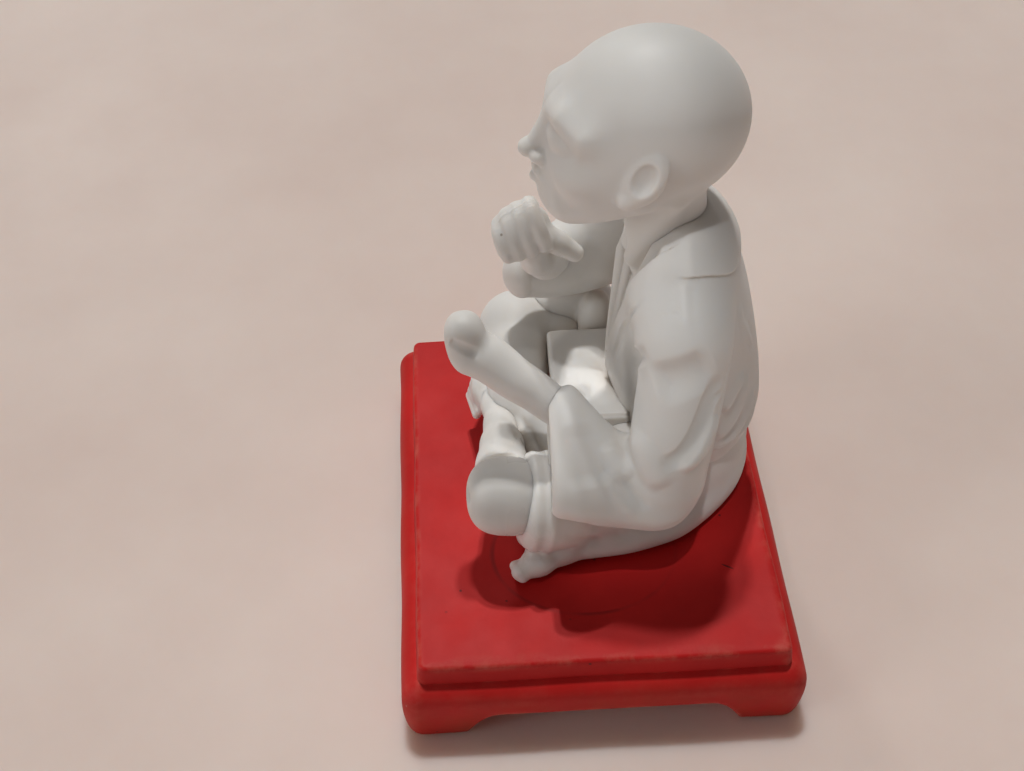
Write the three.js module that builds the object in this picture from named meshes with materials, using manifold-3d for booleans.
// A seated porcelain figure in a wide-sleeved robe, resting on a red lacquered stand with bracket feet.
// Millimetres, +Z up. The origin is the middle of the stand's underside, and the figure faces -Y.
// "Left" and "right" are the figure's own sides: its left is towards +X.

import * as THREE from 'three';
import { mergeVertices } from 'three/addons/utils/BufferGeometryUtils.js';
import Module from 'manifold-3d';

const wasm = await Module();
wasm.setup();

// Stand
const STAND_WIDTH = 98;
const STAND_DEPTH = 80;
const FOOT_HEIGHT = 6.2;
const FOOT_LENGTH = 13;
const FOOT_CURVE = 7;
const RIM_HEIGHT = 14.7;
const RIM_WIDTH = 13;
const RIM_BULGE = 1.6;
const CORNER_RADIUS = 2.6;
const PANEL_RISE = 4.8;
const PANEL_INSET = 3.6;
const PANEL_BEVEL = 0.8;
const PANEL_TONGUE = 3.5;

// Fits between pieces
const SEAM = 0.3;
const WALL = 2.5;
const SPIGOT_DEPTH = 4;
const PLUG_RADIUS = 4.5;
const PLUG_LENGTH = 10;

// Figure as a whole: its height on the stand, and the place of its middle plane
const FIGURE_HEIGHT = 104.6;
const FIGURE_SHIFT = -6;

// Head and neck
const HEAD_HALF_WIDTH = 14;
const HEAD_HALF_LENGTH = 17.2;
const HEAD_HALF_HEIGHT = 16;
const NOSE_RADIUS = 2.4;
const EAR_LENGTH = 11;
const EAR_THICKNESS = 3;
const NECK_RADIUS = 7.2;
const NECK_TENON = 7;

// Robe
const COLLAR_HALF_WIDTH = 4.2;
const COLLAR_THICKNESS = 2.2;
const SLEEVE_RADIUS = 9.5;
const RIGHT_SLEEVE_RADIUS = 8.5;
const CUFF_HALF_HEIGHT = 12.5;
const CUFF_HALF_WIDTH = 7.4;
const CUFF_WALL = 1.8;
const CUFF_DEPTH = 9;
const THIGH_RADIUS = 10.4;
const HEM_RADIUS = 10;
const HEM_WIDTH = 4.4;
const LAP_THICKNESS = 3.4;
const LAP_TILT = THREE.MathUtils.degToRad(7);

// Limbs
const FOREARM_RADIUS = 4.4;
const WRIST_RADIUS = 3.4;
const FIST_RADIUS = 5.2;
const THUMB_RADIUS = 1.9;
const FINGER_RADIUS = 1.7;
const FINGER_PITCH = 2.6;
const FINGERS = 4;
const STUB_RADIUS = 6.6;
const STUB_REACH = 7;
const KNEE_RADIUS = 7.4;
const SHIN_RADIUS = 5;
const ANKLE_RADIUS = 3.5;
const FOOT_RADIUS = 3.2;

// Landmarks of the figure, from its middle plane, the stand's middle line and the robe's underside
const spot = (x, y, z) => new THREE.Vector3(x, y, z);
const CROWN = spot(0, 9.2, 104.6);
const NECK_BASE = spot(0, 14.4, 66);
const NAPE = spot(0, 11, 74);
const LEFT_SHOULDER = spot(15.5, 14.8, 59);
const LEFT_ELBOW = spot(25, 17, 25.5);
const LEFT_CUFF = spot(23.4, -6.8, 31.6);
const LEFT_WRIST = spot(12.4, -19, 44.2);
const LEFT_FIST = spot(11, -23.4, 46.2);
const RIGHT_SHOULDER = spot(-15.5, 13.6, 58);
const RIGHT_ELBOW = spot(-23.5, -7, 40);
const RIGHT_CUFF = spot(-11.5, -13, 47);
const RIGHT_WRIST = spot(-5.4, -13.4, 55);
const RIGHT_FIST = spot(-3.6, -13.4, 60);
const LEFT_HIP = spot(15, 7, 13);
const LEFT_HEM = spot(24, -11, 15.2);
const LEFT_KNEE = spot(24, -18.5, 18);
const LEFT_ANKLE = spot(-3, -20, 15);
const RIGHT_HIP = spot(-15, 7, 13);
const RIGHT_THIGH_END = spot(-22.4, -6.2, 17.4);
const RIGHT_KNEE = spot(-23, -13, 18.4);
const RIGHT_ANKLE = spot(21, -11, 5.2);

// Facets
const LIMB_SIDES = 12;
const STACK_SIDES = 28;
const BALL_SIDES = 20;
const BALL_RINGS = 12;
const CORNER_STEPS = 4;
const CURVE_STEPS = 6;

const PORCELAIN = { color: 0xd8d6d0, roughness: 0.42, metalness: 0 };
const LACQUER = { color: 0xa81c20, roughness: 0.45, metalness: 0 };

const UP = spot(0, 0, 1);
const BACK = spot(0, 1, 0);
const PANEL_TOP = RIM_HEIGHT + PANEL_RISE;
const OVERSHOOT = 1;

// Joining and cutting

function solid(geometry) {
  geometry.deleteAttribute('normal');
  geometry.deleteAttribute('uv');
  const merged = mergeVertices(geometry);
  return new wasm.Manifold(new wasm.Mesh({
    numProp: 3,
    vertProperties: Float32Array.from(merged.attributes.position.array),
    triVerts: Uint32Array.from(merged.index.array),
  }));
}

function join(first, ...rest) {
  return rest.reduce((whole, piece) => whole.add(piece), first);
}

function cut(whole, ...tools) {
  return tools.reduce((left, tool) => left.subtract(tool), whole);
}

function between(start, end, share) {
  return start.clone().lerp(end, share);
}

function towards(start, end, distance) {
  return start.clone().addScaledVector(end.clone().sub(start).normalize(), distance);
}

// Basic forms

// Closed skin over rings of equal count, each end closed by a point
function skin(rings, firstTip, lastTip) {
  const sides = rings[0].length;
  const points = [...rings.flat(), firstTip, lastTip];
  const first = rings.length * sides;
  const last = first + 1;
  const top = first - sides;
  const faces = [];
  for (let side = 0; side < sides; side += 1) {
    const next = (side + 1) % sides;
    faces.push(first, next, side);
    for (let low = 0; low < top; low += sides) {
      const high = low + sides;
      faces.push(low + side, low + next, high + next);
      faces.push(low + side, high + next, high + side);
    }
    faces.push(last, top + side, top + next);
  }
  const geometry = new THREE.BufferGeometry().setFromPoints(points);
  geometry.setIndex(faces);
  return solid(geometry);
}

// An egg with its own half-sizes along X, Y and Z
function ball(centre, halfX, halfY, halfZ) {
  const geometry = new THREE.SphereGeometry(1, BALL_SIDES, BALL_RINGS);
  geometry.scale(halfX, halfY, halfZ);
  geometry.translate(...centre.toArray());
  return solid(geometry);
}

// Oval ring about a centre, square to a direction, with its height measured towards a crest
function ovalRing(centre, direction, crest, tall, wide) {
  const side = crest.clone().cross(direction).normalize();
  const rise = direction.clone().cross(side);
  return Array.from({ length: LIMB_SIDES }, (_, step) => {
    const angle = (2 * Math.PI * step) / LIMB_SIDES;
    const point = centre.clone().addScaledVector(side, wide * Math.cos(angle));
    return point.addScaledVector(rise, tall * Math.sin(angle));
  });
}

// A limb through stations { at, tall, wide }, grown all round by `grow`, each end rounded or flat
function limb(stations, { crest = UP, roundStart = true, roundEnd = true, grow = 0 } = {}) {
  const CAP_REACH = 0.75;
  const CAP_RING_SHARE = 0.5;
  const CAP_RING_SIZE = 0.72;
  const final = stations.length - 1;
  const spine = stations.map(({ at, tall, wide = tall }, index) => {
    const before = stations[Math.max(index - 1, 0)].at;
    const after = stations[Math.min(index + 1, final)].at;
    const direction = after.clone().sub(before).normalize();
    return { centre: at.clone(), direction, tall: tall + grow, wide: wide + grow };
  });
  const rings = [];
  const closeEnd = (end, outward, rounded) => {
    if (!rounded) {
      end.centre.addScaledVector(outward, grow);
      return { tip: end.centre.clone(), ring: null };
    }
    const reach = CAP_REACH * Math.min(end.tall, end.wide);
    const middle = end.centre.clone().addScaledVector(outward, reach * CAP_RING_SHARE);
    const size = CAP_RING_SIZE;
    const ring = ovalRing(middle, end.direction, crest, end.tall * size, end.wide * size);
    return { tip: end.centre.clone().addScaledVector(outward, reach), ring };
  };
  const start = closeEnd(spine[0], spine[0].direction.clone().negate(), roundStart);
  const end = closeEnd(spine[final], spine[final].direction, roundEnd);
  if (start.ring) rings.push(start.ring);
  for (const { centre, direction, tall, wide } of spine) {
    rings.push(ovalRing(centre, direction, crest, tall, wide));
  }
  if (end.ring) rings.push(end.ring);
  return skin(rings, start.tip, end.tip);
}

// A body stacked from level, slightly squared sections about the middle plane
function stack(sections, { grow = 0, drop = 0, rise = 0 } = {}) {
  const SQUARENESS = 2.3;
  const bend = (value) => Math.sign(value) * Math.abs(value) ** (2 / SQUARENESS);
  const final = sections.length - 1;
  const levels = sections.map(({ z, y, wide, deep }, index) => {
    let lift = 0;
    if (index === 0) lift = -drop;
    if (index === final) lift = rise;
    return { z: z + lift, y, wide: wide + grow, deep: deep + grow };
  });
  const rings = levels.map(({ z, y, wide, deep }) => Array.from({ length: STACK_SIDES }, (_, step) => {
    const angle = (2 * Math.PI * step) / STACK_SIDES;
    return spot(wide * bend(Math.cos(angle)), y + deep * bend(Math.sin(angle)), z);
  }));
  const middle = ({ z, y }) => spot(0, y, z);
  return skin(rings, middle(levels[0]), middle(levels[final]));
}

// Stand

// Rounded rectangle drawn in from the stand's outline
function rimRing(inset, z) {
  const radius = Math.max(CORNER_RADIUS - inset / 2, CORNER_RADIUS / 2);
  const middleX = STAND_WIDTH / 2 - inset - radius;
  const middleY = STAND_DEPTH / 2 - inset - radius;
  const corners = [[1, 1], [-1, 1], [-1, -1], [1, -1]];
  const steps = Array.from({ length: CORNER_STEPS + 1 }, (_, step) => step / CORNER_STEPS);
  return corners.flatMap(([signX, signY], quarter) => steps.map((share) => {
    const angle = (quarter + share) * (Math.PI / 2);
    const x = signX * middleX + radius * Math.cos(angle);
    const y = signY * middleY + radius * Math.sin(angle);
    return spot(x, y, z);
  }));
}

function rimBody(levels) {
  const rings = levels.map(({ inset, z }) => rimRing(inset, z));
  return skin(rings, spot(0, 0, levels[0].z), spot(0, 0, levels[levels.length - 1].z));
}

// The gap between two bracket feet, cut right through the stand along Y, or along X when turned
function apronGap(length, turned) {
  const half = length / 2 - FOOT_LENGTH;
  const STEEP = 0.6;
  const EASE = 0.25;
  const shape = new THREE.Shape();
  shape.moveTo(half, -OVERSHOOT);
  shape.lineTo(half, 0);
  shape.bezierCurveTo(
    half, FOOT_HEIGHT * STEEP,
    half - FOOT_CURVE * EASE, FOOT_HEIGHT,
    half - FOOT_CURVE, FOOT_HEIGHT,
  );
  shape.lineTo(FOOT_CURVE - half, FOOT_HEIGHT);
  shape.bezierCurveTo(
    FOOT_CURVE * EASE - half, FOOT_HEIGHT,
    -half, FOOT_HEIGHT * STEEP,
    -half, 0,
  );
  shape.lineTo(-half, -OVERSHOOT);
  const depth = STAND_WIDTH + STAND_DEPTH;
  const options = { depth, bevelEnabled: false, curveSegments: CURVE_STEPS };
  const geometry = new THREE.ExtrudeGeometry(shape, options);
  geometry.translate(0, 0, -depth / 2);
  geometry.rotateX(Math.PI / 2);
  if (turned) geometry.rotateZ(Math.PI / 2);
  return solid(geometry);
}

// The space of one rail: a trapezium whose slanted sides are the mitres, half a seam back from the corners
function railZone(signX, signY) {
  const reach = RIM_WIDTH + OVERSHOOT;
  const shift = SEAM / Math.SQRT2;
  const corners = [[-1, 1], [1, 1], [1, -1], [-1, -1]].map(([along, out]) => {
    const x = STAND_WIDTH / 2 + out * reach;
    const y = STAND_DEPTH / 2 + out * reach;
    return new THREE.Vector2(
      signX === 0 ? along * x : signX * (x + shift),
      signY === 0 ? along * y : signY * (y + shift),
    );
  });
  const depth = RIM_HEIGHT + 2 * OVERSHOOT;
  const geometry = new THREE.ExtrudeGeometry(new THREE.Shape(corners), { depth, bevelEnabled: false });
  geometry.translate(0, 0, -OVERSHOOT);
  return solid(geometry);
}

// Four mitred rails with a rounded outer edge, each with half of two bracket feet
function standRails() {
  const RIM_PROFILE = [[1, 0], [0.45, 0.3], [0, 0.62], [0, 0.8], [0.35, 0.94], [0.9, 1]];
  const frame = cut(
    rimBody(RIM_PROFILE.map(([bulge, height]) => ({ inset: bulge * RIM_BULGE, z: height * RIM_HEIGHT }))),
    rimBody([{ inset: RIM_WIDTH, z: -OVERSHOOT }, { inset: RIM_WIDTH, z: RIM_HEIGHT + OVERSHOOT }]),
    apronGap(STAND_WIDTH, false),
    apronGap(STAND_DEPTH, true),
  );
  return {
    stand_front_rail: frame.intersect(railZone(0, -1)),
    stand_back_rail: frame.intersect(railZone(0, 1)),
    stand_left_rail: frame.intersect(railZone(1, 0)),
    stand_right_rail: frame.intersect(railZone(-1, 0)),
  };
}

// Raised field that covers the rails' inner edge, over a tongue that drops between them
function standPanel() {
  const field = rimBody([
    { inset: PANEL_INSET - PANEL_BEVEL / 2, z: RIM_HEIGHT + SEAM },
    { inset: PANEL_INSET, z: PANEL_TOP - PANEL_BEVEL },
    { inset: PANEL_INSET + PANEL_BEVEL, z: PANEL_TOP },
  ]);
  const tongueInset = RIM_WIDTH + SEAM;
  const tongue = rimBody([
    { inset: tongueInset, z: RIM_HEIGHT - PANEL_TONGUE },
    { inset: tongueInset, z: PANEL_TOP - PANEL_BEVEL },
  ]);
  return join(field, tongue);
}

// Robe

const WAIST = { z: 27, y: 17, wide: 22, deep: 16 };

const TRUNK = [
  WAIST,
  { z: 38, y: 17.4, wide: 22, deep: 15.4 },
  { z: 50, y: 17, wide: 21, deep: 13.2 },
  { z: 58, y: 16.8, wide: 19.6, deep: 10.4 },
  { z: 63.5, y: 16.6, wide: 16, deep: 9.2 },
  { z: 68, y: 16.8, wide: 9, deep: 7.6 },
];

const SEAT = [
  { z: 0, y: 11.5, wide: 27, deep: 21 },
  { z: 7, y: 12, wide: 29, deep: 21.6 },
  { z: 17, y: 14, wide: 27.6, deep: 20 },
  { ...WAIST, z: WAIST.z - SEAM },
];

function trunkForm(grow = 0) {
  return stack(TRUNK, { grow, drop: grow, rise: grow });
}

// Hollow trunk with sockets for the neck and the sleeves, and a spigot that drops into the lower robe
function robeTrunk() {
  const roof = TRUNK.length - 2;
  const hollow = stack(TRUNK.slice(0, roof + 1), { grow: -WALL, rise: -WALL });
  const ledge = [{ ...WAIST, z: WAIST.z - SPIGOT_DEPTH }, { ...WAIST, z: WAIST.z + SPIGOT_DEPTH }];
  const spigot = stack(ledge, { grow: -WALL - SEAM });
  const bore = stack(ledge, { grow: -2 * WALL - SEAM, drop: OVERSHOOT, rise: OVERSHOOT });
  return cut(
    join(cut(trunkForm(), hollow), spigot),
    bore,
    neck(SEAM),
    sleevePlug(LEFT_SHOULDER, SEAM),
    sleevePlug(RIGHT_SHOULDER, SEAM),
  );
}

const LEFT_THIGH_END = towards(LEFT_HEM, LEFT_HIP, HEM_WIDTH / 2 + SEAM);

function thigh(hip, end, grow) {
  const SWELL = 1.6;
  return limb([
    { at: hip, tall: THIGH_RADIUS + SWELL },
    { at: between(hip, end, 0.6), tall: THIGH_RADIUS + SWELL / 2 },
    { at: end, tall: THIGH_RADIUS },
  ], { grow, roundEnd: false });
}

function skirtForm(grow = 0) {
  return join(
    stack(SEAT, { grow, drop: grow, rise: grow }),
    thigh(LEFT_HIP, LEFT_THIGH_END, grow),
    thigh(RIGHT_HIP, RIGHT_THIGH_END, grow),
  );
}

// Hollow lower robe, open below, with sockets for the legs and a notch over the right foot
function robeSkirt() {
  const hollow = stack(SEAT, { grow: -WALL, drop: OVERSHOOT, rise: OVERSHOOT });
  return cut(
    skirtForm(), hollow, trunkForm(SEAM), leftLeg(SEAM), rightStub(SEAM), rightFootForm(SEAM),
  );
}

// One strip up a lapel, round the nape and down the other lapel
function collar() {
  const lapel = [[3.4, 2.2, 41], [6.6, 4.2, 52], [8.8, 8.4, 61], [9.4, 15, 67], [6.6, 22, 69]];
  const left = lapel.map(([x, y, z]) => spot(x, y, z));
  const right = lapel.map(([x, y, z]) => spot(-x, y, z)).reverse();
  const route = [...left, spot(0, 24.4, 69.4), ...right];
  const strip = limb(route.map((at) => ({ at, tall: COLLAR_HALF_WIDTH, wide: COLLAR_THICKNESS })));
  return cut(strip, trunkForm(SEAM), headForm(SEAM), leftSleeveForm(SEAM), rightSleeveForm(SEAM));
}

// Cloth spread over the lap, a little higher along its crisp edge by the right thigh
function lapCloth() {
  const edge = spot(-15.5, -7, 26.4);
  const inner = spot(6, 5, 26.4);
  const geometry = new THREE.BoxGeometry(inner.x - edge.x, inner.y - edge.y, LAP_THICKNESS);
  geometry.rotateY(LAP_TILT);
  geometry.translate(...between(edge, inner, 0.5).toArray());
  return cut(solid(geometry), trunkForm(SEAM), skirtForm(SEAM), rightStub(SEAM), rightShin(SEAM));
}

// Rolled hem round the left thigh
function hemForm(grow = 0) {
  const axis = LEFT_KNEE.clone().sub(LEFT_HEM).normalize();
  const along = (share) => LEFT_HEM.clone().addScaledVector(axis, HEM_WIDTH * share);
  const roll = HEM_WIDTH / 4;
  return limb([
    { at: along(-0.5), tall: HEM_RADIUS - roll / 2 },
    { at: along(-0.2), tall: HEM_RADIUS },
    { at: along(0.2), tall: HEM_RADIUS },
    { at: along(0.5), tall: HEM_RADIUS - roll },
  ], { grow, roundStart: false, roundEnd: false });
}

// Sleeves: an upper arm, then a bag that hangs from the forearm

const CUFF_SLANT = spot(-0.45, 0, 1).normalize();
const ELBOW_SHARE = 0.82;

// Plug through the trunk's wall, from the middle of the sleeve's shoulder
function sleevePlug(shoulder, grow = 0) {
  const half = spot((Math.sign(shoulder.x) * PLUG_LENGTH) / 2, 0, 0);
  const outer = shoulder.clone().add(half);
  const inner = shoulder.clone().sub(half);
  return limb([
    { at: outer, tall: PLUG_RADIUS },
    { at: inner, tall: PLUG_RADIUS },
  ], { grow, roundStart: false, roundEnd: false });
}

function leftSleeveForm(grow = 0) {
  const elbow = SLEEVE_RADIUS * ELBOW_SHARE;
  const upper = limb([
    { at: LEFT_SHOULDER, tall: SLEEVE_RADIUS - 1 },
    { at: spot(19.5, 16, 45), tall: SLEEVE_RADIUS },
    { at: LEFT_ELBOW, tall: elbow },
  ], { crest: BACK, grow });
  const bag = limb([
    { at: LEFT_ELBOW, tall: elbow, wide: elbow - 1 },
    { at: spot(24.2, 6, 29.6), tall: (elbow + CUFF_HALF_HEIGHT) / 2, wide: CUFF_HALF_WIDTH },
    { at: LEFT_CUFF, tall: CUFF_HALF_HEIGHT, wide: CUFF_HALF_WIDTH },
  ], { crest: CUFF_SLANT, grow, roundEnd: false });
  return join(upper, bag);
}

function leftCuffMouth() {
  const tall = CUFF_HALF_HEIGHT - CUFF_WALL;
  const wide = CUFF_HALF_WIDTH - CUFF_WALL;
  const CLOSING = 0.8;
  return limb([
    { at: towards(LEFT_CUFF, LEFT_ELBOW, -OVERSHOOT), tall, wide },
    { at: towards(LEFT_CUFF, LEFT_ELBOW, CUFF_DEPTH), tall: tall * CLOSING, wide: wide * CLOSING },
  ], { crest: CUFF_SLANT, roundStart: false, roundEnd: false });
}

function leftSleeve() {
  const sleeve = cut(
    leftSleeveForm(), leftCuffMouth(), leftForearm(SEAM),
    trunkForm(SEAM), skirtForm(SEAM), hemForm(SEAM), leftLeg(SEAM),
  );
  return join(sleeve, sleevePlug(LEFT_SHOULDER));
}

function rightSleeveForm(grow = 0) {
  const elbow = RIGHT_SLEEVE_RADIUS * ELBOW_SHARE;
  const upper = limb([
    { at: RIGHT_SHOULDER, tall: RIGHT_SLEEVE_RADIUS },
    { at: spot(-19.5, 4, 49), tall: RIGHT_SLEEVE_RADIUS },
    { at: RIGHT_ELBOW, tall: elbow },
  ], { grow });
  const bag = limb([
    { at: RIGHT_ELBOW, tall: elbow },
    { at: spot(-17, -11.5, 43), tall: elbow },
    { at: RIGHT_CUFF, tall: elbow - 1 },
  ], { grow, roundEnd: false });
  return join(upper, bag);
}

function rightSleeve() {
  const sleeve = cut(
    rightSleeveForm(), rightForearm(SEAM), trunkForm(SEAM), skirtForm(SEAM), rightStub(SEAM),
  );
  return join(sleeve, sleevePlug(RIGHT_SHOULDER));
}

// Arms: a root that seats in the sleeve, a wrist and a closed hand

function leftForearm(grow = 0) {
  const arm = limb([
    { at: spot(26, 7, 29), tall: FOREARM_RADIUS },
    { at: spot(21, -5.5, 36.5), tall: FOREARM_RADIUS },
    { at: spot(14.5, -13.5, 41.5), tall: WRIST_RADIUS },
    { at: LEFT_WRIST, tall: WRIST_RADIUS },
  ], { grow });
  const size = FIST_RADIUS + grow;
  const fist = ball(LEFT_FIST, size * 0.9, size * 0.94, size);
  const thumb = limb([
    { at: LEFT_FIST.clone().add(spot(1.5, 2.9, 1.8)), tall: THUMB_RADIUS },
    { at: LEFT_FIST.clone().add(spot(0, -2, 3.8)), tall: THUMB_RADIUS },
  ], { grow });
  return join(arm, fist, thumb);
}

function rightForearm(grow = 0) {
  const arm = limb([
    { at: spot(-19, -10.6, 42.6), tall: FOREARM_RADIUS },
    { at: spot(-10, -13, 48.8), tall: (FOREARM_RADIUS + WRIST_RADIUS) / 2 },
    { at: RIGHT_WRIST, tall: WRIST_RADIUS },
  ], { grow });
  const size = FIST_RADIUS + grow;
  const palm = ball(RIGHT_FIST, size * 0.86, size, size * 1.1);
  const fingers = Array.from({ length: FINGERS }, (_, index) => {
    const along = FINGER_PITCH * (index - FINGERS / 2) + 1;
    const bends = [[1, along, 4.6], [4, along, 1], [3.2, along, -4]];
    return limb(bends.map(([x, y, z]) => (
      { at: RIGHT_FIST.clone().add(spot(x, y, z)), tall: FINGER_RADIUS }
    )), { crest: BACK, grow });
  });
  const thumb = limb([
    { at: RIGHT_FIST.clone().add(spot(-0.4, 3.8, -1.4)), tall: THUMB_RADIUS },
    { at: RIGHT_FIST.clone().add(spot(0.4, 8.8, -2.6)), tall: THUMB_RADIUS },
  ], { grow });
  return join(arm, palm, thumb, ...fingers);
}

// Legs: a stub that plugs into the thigh, a knee, a shin and a foot

function leftLeg(grow = 0) {
  const stub = limb([
    { at: towards(LEFT_THIGH_END, LEFT_HIP, STUB_REACH), tall: STUB_RADIUS },
    { at: LEFT_HEM, tall: STUB_RADIUS },
    { at: LEFT_KNEE, tall: KNEE_RADIUS },
  ], { grow, roundStart: false });
  const shin = limb([
    { at: LEFT_KNEE, tall: KNEE_RADIUS },
    { at: spot(15, -20, 16.8), tall: SHIN_RADIUS },
    { at: spot(5, -20.2, 15.8), tall: (SHIN_RADIUS + 2 * ANKLE_RADIUS) / 3 },
    { at: LEFT_ANKLE, tall: ANKLE_RADIUS },
  ], { grow, roundEnd: false });
  return join(stub, shin);
}

function rightStub(grow = 0) {
  return limb([
    { at: towards(RIGHT_THIGH_END, RIGHT_HIP, STUB_REACH), tall: STUB_RADIUS },
    { at: RIGHT_THIGH_END, tall: STUB_RADIUS },
    { at: RIGHT_KNEE, tall: KNEE_RADIUS },
  ], { grow, roundStart: false });
}

function rightShin(grow = 0) {
  return limb([
    { at: RIGHT_KNEE, tall: KNEE_RADIUS },
    { at: spot(-12, -13, 15), tall: SHIN_RADIUS },
    { at: spot(2, -12.5, 12.5), tall: SHIN_RADIUS },
    { at: spot(13, -12, 8.5), tall: (SHIN_RADIUS + ANKLE_RADIUS) / 2 },
    { at: RIGHT_ANKLE, tall: ANKLE_RADIUS },
  ], { grow, roundEnd: false });
}

function rightLeg() {
  return join(cut(rightShin(), skirtForm(SEAM), leftLeg(SEAM), hemForm(SEAM)), rightStub());
}

function leftFoot() {
  const foot = limb([
    { at: LEFT_ANKLE, tall: ANKLE_RADIUS },
    { at: spot(-9, -19.6, 13), tall: FOOT_RADIUS },
    { at: spot(-16, -19, 10), tall: FOOT_RADIUS },
    { at: spot(-20, -18.6, 8.4), tall: FOOT_RADIUS - 0.6 },
  ], { roundStart: false });
  return cut(foot, leftLeg(SEAM), rightShin(SEAM), rightStub(SEAM));
}

function rightFootForm(grow = 0) {
  return limb([
    { at: spot(22, -6, 4), tall: FOOT_RADIUS },
    { at: spot(27, -8.5, 4), tall: FOOT_RADIUS, wide: FOOT_RADIUS + 0.8 },
    { at: spot(30.4, -13.4, 3.4), tall: FOOT_RADIUS - 0.3 },
    { at: spot(31.2, -16, 2.8), tall: FOOT_RADIUS - 0.9 },
  ], { grow });
}

// Head: skull, jaw, nose and ears on a neck whose tenon goes into the trunk

const HEAD_CENTRE = CROWN.clone().addScaledVector(UP, -HEAD_HALF_HEIGHT);

// A place on the head, in shares of its half-sizes
function onHead(x, y, z) {
  const reach = spot(x * HEAD_HALF_WIDTH, y * HEAD_HALF_LENGTH, z * HEAD_HALF_HEIGHT);
  return HEAD_CENTRE.clone().add(reach);
}

function neck(grow = 0) {
  return limb([
    { at: NECK_BASE.clone().addScaledVector(UP, -NECK_TENON), tall: NECK_RADIUS },
    { at: NECK_BASE, tall: NECK_RADIUS },
    { at: NAPE, tall: NECK_RADIUS },
    { at: HEAD_CENTRE, tall: NECK_RADIUS },
  ], { crest: BACK, grow, roundStart: false });
}

function headForm(grow = 0) {
  const egg = (centre, wide, long, tall) => ball(centre, wide + grow, long + grow, tall + grow);
  const skull = egg(HEAD_CENTRE, HEAD_HALF_WIDTH, HEAD_HALF_LENGTH, HEAD_HALF_HEIGHT);
  const jaw = egg(
    onHead(0, -0.5, -0.94), HEAD_HALF_WIDTH * 0.68, HEAD_HALF_LENGTH * 0.5, HEAD_HALF_HEIGHT * 0.54,
  );
  const nose = limb([
    { at: onHead(0, -0.9, -0.3), tall: NOSE_RADIUS / 2 },
    { at: onHead(0, -0.98, -0.66), tall: NOSE_RADIUS },
  ], { crest: BACK, grow });
  const ears = [-1, 1].map((side) => egg(
    onHead(side * 0.94, -0.12, -0.4), EAR_THICKNESS / 2, EAR_LENGTH * 0.3, EAR_LENGTH / 2,
  ));
  return join(skull, jaw, nose, neck(grow), ...ears);
}

// Assembly

function mesh(name, piece, finish) {
  const { vertProperties, triVerts } = piece.getMesh();
  const geometry = new THREE.BufferGeometry();
  geometry.setAttribute('position', new THREE.Float32BufferAttribute(vertProperties, 3));
  geometry.setIndex(Array.from(triVerts));
  geometry.computeVertexNormals();
  const made = new THREE.Mesh(geometry, new THREE.MeshStandardMaterial(finish));
  made.name = name;
  return made;
}

function group(pieces, finish) {
  const made = new THREE.Group();
  for (const [name, piece] of Object.entries(pieces)) made.add(mesh(name, piece, finish));
  return made;
}

const stand = group({ ...standRails(), stand_panel: standPanel() }, LACQUER);

const figure = group({
  robe_trunk: robeTrunk(),
  robe_skirt: robeSkirt(),
  head: headForm(),
  collar: collar(),
  left_sleeve: leftSleeve(),
  left_forearm: leftForearm(),
  right_sleeve: rightSleeve(),
  right_forearm: rightForearm(),
  left_leg: leftLeg(),
  left_hem: cut(hemForm(), leftLeg(SEAM), skirtForm(SEAM)),
  right_leg: rightLeg(),
  left_foot: leftFoot(),
  right_foot: cut(rightFootForm(), rightShin(SEAM), hemForm(SEAM)),
  lap_cloth: lapCloth(),
}, PORCELAIN);
figure.position.set(FIGURE_SHIFT, 0, PANEL_TOP + SEAM);
figure.scale.setScalar(FIGURE_HEIGHT / CROWN.z);

const object = new THREE.Group();
object.add(stand, figure);

export default object;
